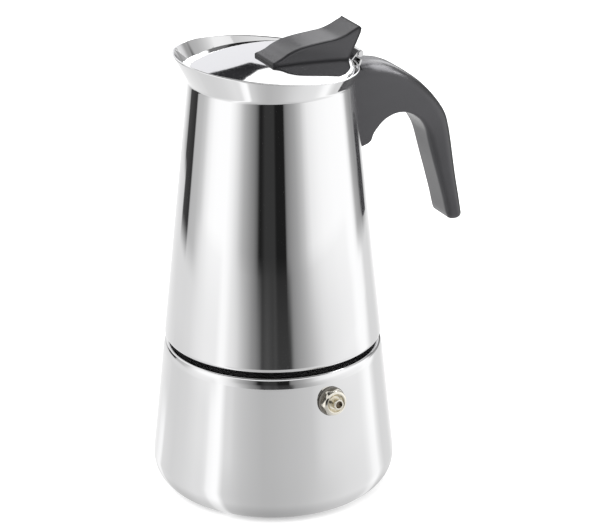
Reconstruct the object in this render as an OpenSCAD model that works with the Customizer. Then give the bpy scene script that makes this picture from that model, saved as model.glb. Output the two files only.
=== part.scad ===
// Stovetop moka pot: boiler, funnel, jug, lid, handle and safety valve.
// Units are millimetres. The origin is the centre of the base, +Z is up,
// the handle is along +X and the pouring lip along -X.

/* [Body] */
// Radius that the straight cone of both chambers would have at the table
cone_base_r = 51.33; // [51.2:0.01:51.5]
// Loss of radius for each millimetre of height
cone_slope = 0.1048; // [0.104:0.0002:0.106]
// Radius of the rounded corner at the foot of the boiler
corner_r = 12; // [11:0.5:13]
// Sheet thickness of the boiler
boiler_t = 1.0; // [0.8:0.1:1.2]
// Sheet thickness of the jug
jug_t = 0.8; // [0.7:0.1:1.0]

/* [Seam and thread] */
// Height of the boiler's shoulder
shoulder_z = 63.15; // [63:0.05:63.3]
// Height of the jug's lower edge
jug_z = 65.35; // [65.2:0.05:65.5]
// Height of the boiler neck's top edge
neck_z = 73.5; // [73.4:0.1:73.6]
// Radius of the neck between the thread ridges
neck_r = 37.4; // [37.3:0.1:37.5]
// Pitch of the screw thread
thread_pitch = 4; // [3.8:0.1:4.2]
// Depth of a thread ridge
thread_depth = 1.2; // [1.0:0.1:1.2]

/* [Jug] */
// Height of the crease where the lip starts to flare
crease_z = 174.0; // [173.8:0.1:174.2]
// Gain of radius for each millimetre of height in the flare
flare_slope = 0.52; // [0.5:0.005:0.54]
// Height of the rim over the pot's axis
rim_z = 181.8; // [181.6:0.1:182]
// Fall of the rim for each millimetre towards the handle
rim_fall = 0.105; // [0.1:0.0005:0.11]
// Height of the jug's floor, underside
floor_z = 78.3; // [78.3:0.1:78.6]
// Height of the riser tube's mouth
riser_z = 138; // [130:1:142]

/* [Lid and hinge] */
// Radius of the lid's turned-down edge
lid_r = 33.4; // [33.2:0.1:33.5]
// Height of the middle of the lid
lid_z = 181.2; // [181.1:0.1:181.4]
// Sheet thickness of the lid
lid_t = 0.6; // [0.5:0.1:0.7]
// Hinge pin's distance from the pot's axis
hinge_x = 35.6; // [35.5:0.1:35.7]
// Height of the hinge pin
hinge_z = 181.4; // [181.3:0.1:181.5]
// Radius of the hinge pin
hinge_pin_r = 0.8; // [0.75:0.05:0.8]
// Radial play of the lid's knuckles on the pin
hinge_play = 0.05; // [0.03:0.01:0.08]

/* [Handle and knob] */
// Width of the handle and of the lid's knob
handle_w = 17.4; // [16.5:0.1:18]
// Radius of the handle screw
screw_r = 2; // [1.9:0.1:2.1]

/* [Funnel and filter] */
// Inside radius of the coffee basket
basket_r = 29.9; // [29.8:0.1:30]
// Height of the basket's perforated floor
basket_z = 47; // [46:0.5:49]
// Height of the lower end of the funnel's tube
tube_z = 8; // [7:0.5:10]
// Inside radius of the funnel's tube
tube_r = 4.6; // [4.5:0.1:4.8]
// Rings of holes in the filter plate and the basket's floor
hole_rings = 5; // [4:1:5]
// Radius of one filter hole
hole_r = 0.7; // [0.5:0.1:0.8]

/* [Safety valve] */
// Height of the valve on the boiler's wall
valve_z = 51.5; // [51:0.1:52]
// Direction of the valve round the pot, from the handle
valve_turn = -84.8; // [-86:0.1:-84]
// Radius of the valve's stem
stem_r = 1.4; // [1.3:0.05:1.4]
// Radial play of the stem in its bore
stem_play = 0.06; // [0.04:0.01:0.08]

/* [Hidden] */
$fn = 96;

steel = [0.80, 0.80, 0.82];
dull_steel = [0.62, 0.62, 0.64];
black = [0.13, 0.13, 0.14];
brass = [0.78, 0.70, 0.55];
cone_a = atan(cone_slope);
crease_r = R(crease_z);
lid_curve = 330;            // radius of the lid's flat dome
collar_r = neck_r + thread_depth + 0.4;
disc_r = 36.3;
disc_h = 3;
lift = 0.4;                 // the boiler's sheet stands this far off the table

// radius of the body's cone, and of the flared lip, at a height
function R(z) = cone_base_r - cone_slope * z;
function F(z) = crease_r + flare_slope * (z - crease_z);
// height of the lid's top at a radius
function lid_top(r) = lid_z - r * r / (2 * lid_curve);

function arc(c, r, a0, a1, n) = [for (i = [0:n]) let(a = a0 + (a1 - a0) * i / n) [c[0] + r * cos(a), c[1] + r * sin(a)]];
function rev(v) = [for (i = [len(v) - 1:-1:0]) v[i]];

// smooth line through the given points, n steps for each span
function spline(p, n) = let(m = len(p) - 1)
    concat([for (i = [0:m - 1], k = [0:n - 1])
        let(t = k / n, a = p[max(i - 1, 0)], b = p[i], c = p[i + 1], d = p[min(i + 2, m)])
        0.5 * (2 * b + (c - a) * t + (2 * a - 5 * b + 4 * c - d) * t * t + (3 * b - a - 3 * c + d) * t * t * t)],
        [p[m]]);

// a flat outline in x and z, given a thickness along y about the middle plane
module plate(outline, w, y = 0) {
    translate([0, y + w / 2, 0]) rotate([90, 0, 0]) linear_extrude(height = w) polygon(outline);
}

// closed skin over sections that stand across the middle plane; each row is
// [outer x, outer z, inner x, inner z, radius of the outer edges, half width, narrowing at the inner edge]
module skin(rows, crown = 0.3, edge = 0.6) {
    n = len(rows) - 1;
    m = 18;
    pts = [for (s = rows)
        let(l = norm([s[2] - s[0], s[3] - s[1]]), u = [s[2] - s[0], s[3] - s[1]] / l, r = s[4], w = s[5], k = s[6],
            half = concat([[0, 0]], [for (a = [0:22.5:90]) [crown + r - r * cos(a), w - r + r * sin(a)]],
                [[max(l / 2, crown + r + 0.2), w], [l - edge, w - k], [l, w - k - edge], [l, 0]]),
            ring = concat(half, [for (i = [8:-1:1]) [half[i][0], -half[i][1]]]))
        for (q = ring) [s[0] + u[0] * q[0], q[1], s[1] + u[1] * q[0]]];
    walls = [for (i = [0:n - 1], j = [0:m - 1])
        let(a = m * i + j, b = m * i + (j + 1) % m) each [[a, b, b + m], [a, b + m, a + m]]];
    polyhedron(points = pts, faces = concat(walls, [[for (j = [m - 1:-1:0]) j], [for (j = [0:m - 1]) m * n + j]]), convexity = 8);
}

// helical ridge: foot radius, crest radius, height of its middle at 0 degrees, turns
module ridge(foot, crest, z0, turns) {
    n = round(turns * 40);
    side = crest > foot ? -0.3 : 0.3;
    pts = [for (i = [0:n])
        let(a = 360 * turns * i / n, z = z0 + thread_pitch * turns * i / n,
            s = min(1, (i + 0.3) / 3, (n - i + 0.3) / 3), c = foot + (crest - foot) * s,
            q = [[foot + side, -0.9], [foot + side, 0.9], [c, 0.45], [c, -0.45]])
        for (j = [0:3]) [q[j][0] * cos(a), q[j][0] * sin(a), z + q[j][1]]];
    walls = [for (i = [0:n - 1], j = [0:3])
        let(a = 4 * i + j, b = 4 * i + (j + 1) % 4, c = a + 4, d = b + 4)
        each [[a, c, b], [b, c, d]]];
    ends = [[0, 1, 2], [0, 2, 3], [4 * n, 4 * n + 2, 4 * n + 1], [4 * n, 4 * n + 3, 4 * n + 2]];
    faces = concat(walls, ends);
    polyhedron(points = pts, faces = crest > foot ? faces : [for (f = faces) [f[2], f[1], f[0]]], convexity = 8);
}

// puts a shape modelled along +X from the wall's surface onto the valve's place
module at_valve() {
    rotate([0, 0, valve_turn]) translate([R(valve_z), 0, valve_z]) rotate([0, -cone_a, 0]) children();
}
// cylinder along +X between two distances
module rod(x0, x1, r) { translate([x0, 0, 0]) rotate([0, 90, 0]) cylinder(h = x1 - x0, r = r); }
// shape turned about the +X axis from an outline of [distance, radius] points
module turned_x(outline) { rotate([0, 90, 0]) rotate_extrude() polygon([for (p = outline) [p[1], p[0]]]); }

// ---------------------------------------------------------------- boiler
corner_x = R(corner_r) - corner_r / cos(cone_a);

module boiler_shell() {
    t = boiler_t;
    flat_x = corner_x + sqrt(pow(corner_r, 2) - pow(corner_r - lift, 2));
    in_r = corner_r - t;
    flat_in = corner_x + sqrt(pow(in_r, 2) - pow(in_r - lift, 2));
    a_out = -90 + acos((corner_r - lift) / corner_r);
    a_in = -90 + acos((in_r - lift) / in_r);
    outer = concat(
        [[0, disc_h], [disc_r, disc_h], [disc_r, lift]],
        arc([corner_x, corner_r], corner_r, a_out, cone_a, 14),
        [[R(59.2), 59.2], [R(60.8) - 0.10, 60.8], [R(62.4) - 0.38, 62.4], [R(62.9) - 0.70, 62.9],
         [R(63) - 1.25, shoulder_z], [neck_r, shoulder_z], [neck_r, neck_z - 0.5], [neck_r - 0.5, neck_z], [33, neck_z]]);
    inner = concat(
        [[0, disc_h + t], [disc_r + t, disc_h + t], [disc_r + t, lift + t]],
        arc([corner_x, corner_r], in_r, a_in, cone_a, 12),
        [[R(59.2) - t, 59.2], [R(61.6) - t - 0.4, 61.6], [R(62) - t - 1.2, shoulder_z - t],
         [neck_r - t, shoulder_z - t], [neck_r - t, neck_z - t], [33, neck_z - t]]);
    color(steel) difference() {
        union() {
            rotate_extrude() polygon(concat(outer, rev(inner)));
            ridge(neck_r, neck_r + thread_depth, 65.5, 1.5);
        }
        at_valve() rod(-6, 6, 4.1);
    }
}

// steel-faced heat-spreading disc in the boiler's floor; its lower face is the foot
module base_disc() {
    color(dull_steel) rotate_extrude()
        polygon([[0, 0], [disc_r - 1.1, 0], [disc_r - 0.3, 0.5], [disc_r, 1.1], [disc_r, disc_h], [0, disc_h]]);
}

// ---------------------------------------------------------------- valve
module valve_body() {
    color(brass) at_valve() difference() {
        union() {
            intersection() {
                translate([1, 0, 0]) rotate([0, 90, 0]) cylinder(h = 3.2, d = 10 / cos(30), $fn = 6);
                turned_x([[0.9, 0], [0.9, 5.1], [1.5, 5.7], [2.6, 5.5], [3.6, 5.0], [4.0, 4.5], [4.2, 3.9], [4.2, 0]]);
            }
            rod(-9.6, 1.5, 4.0);
            rod(2, 6.2, 2.15);
        }
        turned_x([[2.6, 2.15], [2.6, 3.2], [3.2, 3.7], [4.5, 4.0], [4.5, 2.15]]);
        rod(-7, 7, stem_r + stem_play);
        rod(-10, -1.2, 2.9);
    }
}
// flat sealing ring between the hexagon and the wall
module valve_washer() {
    color([0.32, 0.32, 0.33]) at_valve() difference() { rod(0, 1, 5.9); rod(-1, 2, 4.05); }
}
module valve_nut() {
    color(brass) at_valve() difference() {
        translate([-5, 0, 0]) rotate([0, 90, 0]) cylinder(h = 3.3, d = 11 / cos(30), $fn = 6);
        rod(-6, 0, 4.0);
    }
}
// bush pressed into the valve's inner end, which the plug closes on
module valve_seat() {
    color(brass) at_valve() difference() { rod(-9.6, -8.1, 2.9); rod(-10, -8, 1.8); }
}
module valve_stem() {
    color(dull_steel) at_valve() {
        rod(-8.1, -6.6, 2.82);
        rod(-6.8, 5.0, stem_r);
    }
}
module valve_spring() {
    turns = 4; per = 14; wire = 0.28; coil = 2.1; x0 = -6.25; x1 = -1.55;
    n = turns * per;
    pts = [for (i = [0:n]) let(a = 360 * i / per, x = x0 + (x1 - x0) * i / n)
        for (j = [0:5]) let(b = 60 * j, r = coil + wire * cos(b)) [x + wire * sin(b), r * cos(a), r * sin(a)]];
    faces = concat(
        [for (i = [0:n - 1], j = [0:5]) let(a = 6 * i + j, b = 6 * i + (j + 1) % 6) each [[a, b, a + 6], [b, b + 6, a + 6]]],
        [[5, 4, 3, 2, 1, 0], [for (j = [0:5]) 6 * n + j]]);
    color(dull_steel) at_valve() polyhedron(points = pts, faces = [for (f = faces) rev(f)], convexity = 8);
}

// ---------------------------------------------------------------- funnel and filter
flange_h = 0.8;
module funnel_cup() {
    t = 0.6; r = basket_r; z = basket_z; g = tube_r + t;
    color(dull_steel) rotate_extrude() polygon([
        [r, neck_z + flange_h], [r, z + 1], [r - 0.4, z], [r - 2.4, z - 0.4], [r - 3.4, z - 1.4], [g + 2, z - 7], [g, z - 8.5], [g, z - 12],
        [g + t, z - 12], [g + t, z - 8.8], [g + 2.4, z - 7.7], [r - 2.8, z - 2.1], [r - 2, z - 1], [r + 0.2, z - 0.6], [r + t, z + 0.6],
        [r + t, neck_z], [36.2, neck_z], [36.2, neck_z + flange_h]]);
}
module funnel_tube() {
    color(dull_steel) difference() {
        translate([0, 0, tube_z]) cylinder(h = basket_z - 8.5 - tube_z, r = tube_r + 0.6);
        translate([0, 0, tube_z - 1]) cylinder(h = basket_z, r = tube_r);
    }
}
// disc with rings of round holes
module perforated(r, h, rings) {
    linear_extrude(height = h) difference() {
        circle(r = r);
        for (k = [1:rings], i = [0:6 * k - 1]) rotate(i * 60 / k) translate([k * (r - 4) / rings, 0]) circle(r = hole_r);
        circle(r = hole_r);
    }
}
module funnel_sieve() {
    color(dull_steel) translate([0, 0, basket_z]) perforated(basket_r - 0.45, 0.5, hole_rings);
}
module filter_plate() {
    color(dull_steel) translate([0, 0, neck_z + flange_h]) perforated(basket_r + 1, 0.5, hole_rings);
}
module gasket() {
    z = neck_z + flange_h; r = basket_r + 1.3;
    color([0.88, 0.87, 0.84]) rotate_extrude() polygon([
        [r, z], [36.1, z], [36.5, z + 0.4], [36.5, floor_z - 0.4], [36.1, floor_z],
        [r - 2.2, floor_z], [r - 2.5, floor_z - 0.3], [r - 2.5, z + 0.8], [r, z + 0.8]]);
}

// ---------------------------------------------------------------- jug
module jug_shell() {
    t = jug_t; f = jug_t / cos(atan(flare_slope));
    e = 1.5;                // radius of the lower edge
    ez = jug_z + e;
    // concave blend between the cone and the flare
    blend = [for (i = [0:6]) let(u = i / 6, p = [R(crease_z - 0.8), crease_z - 0.8], q = [crease_r, crease_z], s = [F(crease_z + 0.8), crease_z + 0.8])
        (1 - u) * (1 - u) * p + 2 * u * (1 - u) * q + u * u * s];
    inner_q = [R(crease_z + 0.16) - t, crease_z + 0.16];
    blend_in = [for (i = [0:6]) let(u = i / 6, p = [R(crease_z - 0.8) - t, crease_z - 0.8], s = [F(crease_z + 1.1) - f, crease_z + 1.1])
        (1 - u) * (1 - u) * p + 2 * u * (1 - u) * inner_q + u * u * s];
    outer = concat([[40.2, jug_z]], arc([R(ez) - e, ez], e, -90, 4, 6), blend, [[F(190), 190]]);
    inner = concat([[40.2, jug_z + t]], arc([R(ez) - e, ez], e - t, -90, 4, 4), blend_in, [[F(190) - f, 190]]);
    color(steel) difference() {
        rotate_extrude() polygon(concat(outer, rev(inner)));
        translate([0, 0, rim_z]) rotate([0, atan(rim_fall), 0]) translate([-80, -80, 0]) cube([160, 160, 40]);
    }
}
// threaded ring inside the jug's foot, with the gasket's seat above the thread
module thread_collar() {
    color(dull_steel) union() {
        rotate_extrude() polygon([
            [collar_r, jug_z + 0.25], [40.2, jug_z + 0.25], [40.2, 75.8], [38, 75.8], [38, floor_z], [36.8, floor_z],
            [36.8, 74.6], [collar_r, 74.6]]);
        ridge(collar_r, collar_r - thread_depth, 67.5, 1.25);
    }
}
module jug_floor() {
    h = 0.8;
    color(dull_steel) rotate_extrude() polygon([
        [8.2, floor_z], [R(floor_z) - jug_t - 0.02, floor_z], [R(floor_z + h) - jug_t - 0.02, floor_z + h], [8.2, floor_z + h]]);
}
module riser_tube() {
    z = floor_z + 0.8;
    color(dull_steel) rotate_extrude() polygon([
        [7.4, floor_z - 0.6], [8.2, floor_z - 0.6], [8.2, z], [12, z], [12, z + 0.7], [9.2, z + 0.8], [8.4, z + 2], [5.4, riser_z],
        [4.7, riser_z], [7.4, z + 1.5]]);
}
module riser_cap() {
    z = riser_z;
    color(steel) difference() {
        rotate_extrude() polygon([
            [5.7, z - 4], [6.4, z - 4], [6.4, z + 5], [6.1, z + 6.3], [5.2, z + 7.4], [3.4, z + 8.2], [1.7, z + 8.6], [0, z + 8.7],
            [0, z + 8], [1.6, z + 7.9], [3.2, z + 7.5], [4.8, z + 6.8], [5.5, z + 5.9], [5.7, z + 5]]);
        for (a = [0, 90]) rotate([0, 0, 45 + a]) translate([-8, 0, z + 2.8]) rotate([0, 90, 0]) cylinder(h = 16, r = 1.7);
    }
}

// ---------------------------------------------------------------- handle
// sections of the handle from the jug, over the arch and down the grip to its tip
handle_rows = spline([
    [31, 176.6, 30, 141, 6.2, 0.5, 0], [35, 176.75, 36, 142, 6.2, 0.5, 0], [38, 176.8, 40.1, 143.6, 6.2, 0.5, 0],
    [41.5, 176.7, 41.5, 146.6, 6.2, 0.5, 0], [44.8, 176.2, 43.5, 149.2, 6.2, 0.5, 0], [47.8, 175.5, 46.4, 151.9, 6.2, 0.5, 0],
    [51.4, 174, 50.4, 153.7, 6, 0.5, 0], [55.2, 171.8, 54, 154.1, 5.2, 0.5, 0], [59.4, 168.9, 57.4, 153.4, 4.6, 0.5, 0],
    [64.8, 164.5, 61, 151.3, 4.3, 0.5, 0], [70.4, 158.5, 64, 148.4, 4.2, 0.5, 0.1], [75.5, 151.2, 66.2, 144.6, 4.2, 0.5, 0.4],
    [77.5, 145.2, 67.4, 141, 4.2, 0.5, 0.8], [78.9, 137.9, 68.9, 135.5, 4.2, 0.5, 1], [80, 130.5, 70.5, 129.8, 4, 0.5, 1],
    [81.3, 121.9, 72.6, 122.6, 3.8, 0.5, 1], [82.8, 113.2, 75.2, 113.2, 3.4, 0.5, 1], [83.8, 106.9, 76.7, 107, 3, 0.5, 1],
    [84, 105.3, 77.4, 104.9, 2.8, 0.49, 1], [83.5, 104.2, 78, 103.8, 2.4, 0.465, 0.9], [82.3, 103.6, 79.2, 103.3, 1.2, 0.415, 0.6]], 2);

module handle() {
    color(black) difference() {
        skin([for (h = handle_rows) [h[0], h[1], h[2], h[3], h[4], h[5] * handle_w, h[6]]]);
        // seat on the jug's wall, room for the hinge, and a pocket for the bracket's foot
        rotate_extrude() polygon([[0, 130], [R(130) + 0.02, 130], [R(crease_z - 0.8) + 0.02, crease_z - 0.8],
            [F(crease_z + 0.8) + 0.02, crease_z + 0.8], [F(178) + 0.02, 178], [0, 178]]);
        translate([30, -8.4, 174.2]) cube([6.6, 16.8, 6]);
        rotate([0, 0, -11]) rotate_extrude(angle = 22) polygon([[30, 149.6], [R(149.6) + 1.4, 149.6], [R(168.4) + 1.4, 168.4], [30, 168.4]]);
        translate([30, -5.2, 159.9]) cube([26.2, 10.4, 2.8]);
        translate([50, 0, 145]) cylinder(h = 12.2, r = 4);
        translate([50, 0, 150]) cylinder(h = 16, r = screw_r + 0.2);
    }
}
// steel foot welded to the jug, with a tongue that the handle is screwed to
module handle_bracket() {
    color(dull_steel) difference() {
        union() {
            rotate([0, 0, -10]) rotate_extrude(angle = 20) polygon([[R(150) + 0.02, 150], [R(150) + 1.2, 150], [R(168) + 1.2, 168], [R(168) + 0.02, 168]]);
            translate([35.2, -5, 160.1]) cube([20.6, 10, 2.4]);
        }
        translate([50, 0, 150]) cylinder(h = 20, r = screw_r);
    }
}
module handle_screw() {
    color(dull_steel) difference() {
        union() {
            translate([50, 0, 154.8]) cylinder(h = 2.4, r = 3.5);
            translate([50, 0, 157]) cylinder(h = 8, r = screw_r);
        }
        for (a = [0, 90]) translate([50, 0, 154.5]) rotate([0, 0, a]) translate([-2.2, -0.4, 0]) cube([4.4, 0.8, 1.5]);
    }
}

// ---------------------------------------------------------------- hinge
knuckle_r = 1.45;
// strap welded outside the rim, rolled round the pin in the middle
module hinge_bracket() {
    color(steel) difference() {
        union() {
            rotate([0, 0, -13]) rotate_extrude(angle = 26) polygon([[F(174.6) + 0.02, 174.6], [F(174.6) + 0.8, 174.6], [F(176.8) + 0.8, 176.8], [F(176.8) + 0.02, 176.8]]);
            plate([[34.8, 176.4], [35.5, 176.4], [36.4, 178.6], [35.65, 178.9]], 16);
            plate([[35.5, 178.3], [36.35, 178.4], [hinge_x + 1.1, hinge_z - 0.7], [hinge_x - 0.5, hinge_z - 1.2]], 6);
            translate([hinge_x, -3, hinge_z]) rotate([-90, 0, 0]) cylinder(h = 6, r = knuckle_r);
        }
        translate([hinge_x, -10, hinge_z]) rotate([-90, 0, 0]) cylinder(h = 20, r = hinge_pin_r);
    }
}
module hinge_pin() {
    color(dull_steel) {
        translate([hinge_x, -8.5, hinge_z]) rotate([-90, 0, 0]) cylinder(h = 17, r = hinge_pin_r);
        for (y = [-8.7, 8.2]) translate([hinge_x, y, hinge_z]) rotate([-90, 0, 0]) cylinder(h = 0.5, r = 1.1);
    }
}

// ---------------------------------------------------------------- lid
screw_x = [17, 27];
// upper face of the strap's tab, flat under the lid's dome
function tab_z(x) = lid_z - 0.95 - (x - 13) * 0.0714;

module lid_shell() {
    t = lid_t; b = lid_r - 1.9; s = 1.9;
    c = [b, lid_top(b) - s];
    top = [for (i = [0:6]) let(r = b * i / 6) [r, lid_top(r)]];
    under = [for (i = [0:6]) let(r = b * i / 6) [r, lid_top(r) - t]];
    color(steel) difference() {
        rotate_extrude() polygon(concat(top, arc(c, s, 76, 0, 6), [[lid_r, 176.8], [lid_r - t, 176.8]], arc(c, s - t, 0, 76, 5), rev(under)));
        for (x = screw_x) translate([x, 0, 170]) cylinder(h = 20, r = 1.6);
        // notch that the hinge strap comes out of
        translate([31, -8.3, 176]) cube([6, 16.6, 6]);
    }
}
// strap under the lid that leaves through the notch and is rolled round the pin at both ends
module lid_hinge_leaf() {
    a = 47; k = knuckle_r; t = 0.5;
    p = [hinge_x - k * sin(a), hinge_z + k * cos(a)];
    q = [hinge_x - (k - t) * sin(a), hinge_z + (k - t) * cos(a)];
    // where the rising part meets the tab's plane, on the upper and the lower face
    u = (p[1] - tab_z(31.4)) / tan(a);
    v = (q[1] - tab_z(31.4) + t) / tan(a);
    color(steel) difference() {
        union() {
            plate([[13, tab_z(13)], [13, tab_z(13) - t], [30.9, tab_z(30.9) - t], [30.9, tab_z(30.9)]], 12);
            plate([[30.6, tab_z(30.6)], [30.6, tab_z(30.6) - t], [q[0] - v, q[1] - v * tan(a)], q, p, [p[0] - u, p[1] - u * tan(a)]], 16);
            for (y = [-8, 3.2]) translate([hinge_x, y, hinge_z]) rotate([-90, 0, 0]) cylinder(h = 4.8, r = k);
        }
        for (x = screw_x) translate([x, 0, 170]) cylinder(h = 20, r = 1.6);
        translate([hinge_x, -10, hinge_z]) rotate([-90, 0, 0]) cylinder(h = 20, r = hinge_pin_r + hinge_play);
        // room for the bracket's middle knuckle
        translate([hinge_x, -3.2, hinge_z]) rotate([-90, 0, 0]) cylinder(h = 6.4, r = k + 0.3);
    }
}
// sections of the knob, from its front edge to beyond its rear face
knob_rows = spline([
    [-3, 182.3, -3, 178.5, 0.5, 0.5, 0], [-2.5, 182.65, -2.4, 178.5, 0.9, 0.5, 0], [1.1, 184, 0.6, 178.5, 0.9, 0.5, 0], [4.5, 185.8, 3.6, 178.5, 0.9, 0.5, 0], [9.1, 187.3, 8, 178.5, 0.9, 0.5, 0],
    [14.5, 188.1, 13, 178.5, 0.9, 0.5, 0], [20, 188.6, 18.5, 178.5, 0.9, 0.5, 0], [25.3, 189.1, 23.5, 178.5, 0.9, 0.5, 0],
    [29.3, 190.2, 27.6, 178.5, 0.9, 0.5, 0], [32.6, 191.7, 31, 178.5, 0.9, 0.5, 0], [35.2, 192.8, 34, 178.5, 0.9, 0.5, 0], [38, 194, 37, 178.5, 0.9, 0.5, 0]], 2);
module lid_knob() {
    color(black) difference() {
        intersection() {
            skin([for (h = knob_rows) [h[0], h[1], h[2], h[3], h[4], h[5] * handle_w, h[6]]], 0.1, 0.3);
            plate([[-4, 179.4], [-4, 200], [35.1, 200], [35.15, 192.86], [35.8, 192.4], [35.4, 190.3], [33.4, 186.1], [31.3, 182.2], [30.4, 180.2], [30.3, 179.4]], 30);
        }
        rotate_extrude() polygon(concat([for (i = [0:12]) let(r = 36 * i / 12) [r, lid_top(r) + 0.03]], [[36, 170], [0, 170]]));
        for (x = screw_x) translate([x, 0, 170]) cylinder(h = 16.6, r = 1.5);
    }
}
module knob_screws() {
    color(dull_steel) for (x = screw_x) translate([x, 0, tab_z(x + 2.6) - 0.53]) {
        translate([0, 0, -1.5]) cylinder(h = 1.5, r = 2.6);
        translate([0, 0, -0.5]) cylinder(h = 6.5, r = 1.5);
    }
}

boiler_shell();
base_disc();
valve_body();
valve_washer();
valve_nut();
valve_seat();
valve_stem();
valve_spring();
funnel_cup();
funnel_tube();
funnel_sieve();
filter_plate();
gasket();
jug_shell();
thread_collar();
jug_floor();
riser_tube();
riser_cap();
handle();
handle_bracket();
handle_screw();
hinge_bracket();
hinge_pin();
lid_shell();
lid_hinge_leaf();
lid_knob();
knob_screws();
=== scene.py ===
import math

import bmesh
import bpy
import numpy as np
from mathutils import Matrix, Vector


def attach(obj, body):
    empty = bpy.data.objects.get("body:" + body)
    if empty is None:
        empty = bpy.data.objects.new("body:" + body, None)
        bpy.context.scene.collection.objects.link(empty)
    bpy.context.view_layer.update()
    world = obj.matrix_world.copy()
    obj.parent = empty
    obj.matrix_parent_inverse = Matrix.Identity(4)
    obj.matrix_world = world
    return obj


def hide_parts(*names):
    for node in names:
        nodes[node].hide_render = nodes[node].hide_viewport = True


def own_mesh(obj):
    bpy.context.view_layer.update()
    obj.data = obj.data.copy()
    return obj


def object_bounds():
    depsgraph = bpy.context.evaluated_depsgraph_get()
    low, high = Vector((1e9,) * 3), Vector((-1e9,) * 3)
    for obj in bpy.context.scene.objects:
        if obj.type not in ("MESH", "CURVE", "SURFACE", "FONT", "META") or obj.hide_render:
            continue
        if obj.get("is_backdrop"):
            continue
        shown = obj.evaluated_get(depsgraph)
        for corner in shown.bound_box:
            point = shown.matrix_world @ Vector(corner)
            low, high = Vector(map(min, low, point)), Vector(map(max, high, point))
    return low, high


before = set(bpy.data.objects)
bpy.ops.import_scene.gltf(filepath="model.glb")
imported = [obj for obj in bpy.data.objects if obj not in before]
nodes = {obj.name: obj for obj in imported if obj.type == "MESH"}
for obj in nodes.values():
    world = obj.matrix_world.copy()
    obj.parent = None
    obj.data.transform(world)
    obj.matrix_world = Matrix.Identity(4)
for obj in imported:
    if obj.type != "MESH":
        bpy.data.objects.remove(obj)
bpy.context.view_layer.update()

scene = bpy.context.scene
MM = 0.001

# ------------------------------------------------------------------ dimensions, mm, as in the CAD source
CONE_R, CONE_S = 51.33, 0.1048
CONE_A = math.atan(CONE_S)
CREASE_Z, FLARE = 174.0, 0.52
RIM_Z, RIM_FALL = 181.8, 0.105
BLEND_LO, BLEND_HI, BLEND_IN = 173.2, 174.8, 175.1   # the crease's rounding, outside and inside
LID_Z, LID_R, LID_T = 181.2, 33.4, 0.6
HINGE_X, HINGE_Z = 35.6, 181.4
VALVE_TURN, VALVE_Z = -84.8, 51.5
HANDLE_W = 17.4


def cone(z):
    return CONE_R - CONE_S * z


CREASE_R = cone(CREASE_Z)


def flare(z):
    return CREASE_R + FLARE * (z - CREASE_Z)


def lid_top(r):
    return LID_Z - r * r / 660.0


# ------------------------------------------------------------------ mesh helpers
def rounded(points, closed=True, step=9.0):
    """Polyline through (x, z, corner radius) with each corner replaced by an arc."""
    out, n = [], len(points)
    for i, p in enumerate(points):
        x, z = p[0], p[1]
        r = p[2] if len(p) > 2 else 0.0
        if r <= 0 or (not closed and i in (0, n - 1)):
            out.append((x, z))
            continue
        b = np.array((x, z), float)
        u = np.array(points[i - 1][:2], float) - b
        v = np.array(points[(i + 1) % n][:2], float) - b
        lu, lv = np.linalg.norm(u), np.linalg.norm(v)
        u, v = u / lu, v / lv
        ang = math.acos(max(-1.0, min(1.0, float(u @ v))))
        if ang > math.pi - 0.02:
            out.append((x, z))
            continue
        t = min(r / math.tan(ang / 2), 0.48 * lu, 0.48 * lv)
        r = t * math.tan(ang / 2)
        m = (u + v) / np.linalg.norm(u + v)
        c = b + m * (r / math.sin(ang / 2))
        s, e = b + u * t, b + v * t
        a0 = math.atan2(s[1] - c[1], s[0] - c[0])
        a1 = math.atan2(e[1] - c[1], e[0] - c[0])
        da = (a1 - a0 + math.pi) % (2 * math.pi) - math.pi
        k = max(2, int(math.ceil(math.degrees(abs(da)) / step)))
        out += [(c[0] + r * math.cos(a0 + da * j / k), c[1] + r * math.sin(a0 + da * j / k)) for j in range(k + 1)]
    return out


def dense(path, longest=4.0, guard=0.25, closed=True):
    """Splits long spans, with a support point close to each end so that fillets keep their shading."""
    out, n = [], len(path)
    for i in range(n if closed else n - 1):
        a, b = np.array(path[i], float), np.array(path[(i + 1) % n], float)
        out.append(tuple(a))
        d = float(np.linalg.norm(b - a))
        if d > 3 * guard:
            k = max(1, int(math.ceil((d - 2 * guard) / longest)))
            ts = [guard / d + (1 - 2 * guard / d) * j / k for j in range(k + 1)]
            out += [tuple(a + (b - a) * t) for t in ts]
    if not closed:
        out.append(tuple(path[-1]))
    return out


def catmull(p, n):
    """The smooth line of the CAD source: n steps for each span of the given points."""
    p = [np.array(q, float) for q in p]
    m, out = len(p) - 1, []
    for i in range(m):
        a, b, c, d = p[max(i - 1, 0)], p[i], p[i + 1], p[min(i + 2, m)]
        for k in range(n):
            t = k / n
            out.append(0.5 * (2 * b + (c - a) * t + (2 * a - 5 * b + 4 * c - d) * t * t + (3 * b - a - 3 * c + d) * t ** 3))
    out.append(p[m])
    return np.array(out)


def resample(line, n):
    """n + 1 points evenly spaced along a polyline."""
    line = np.asarray(line, float)
    s = np.concatenate([[0], np.cumsum(np.linalg.norm(np.diff(line, axis=0), axis=1))])
    t = np.linspace(0, s[-1], n + 1)
    return np.stack([np.interp(t, s, line[:, k]) for k in range(line.shape[1])], 1)


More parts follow.
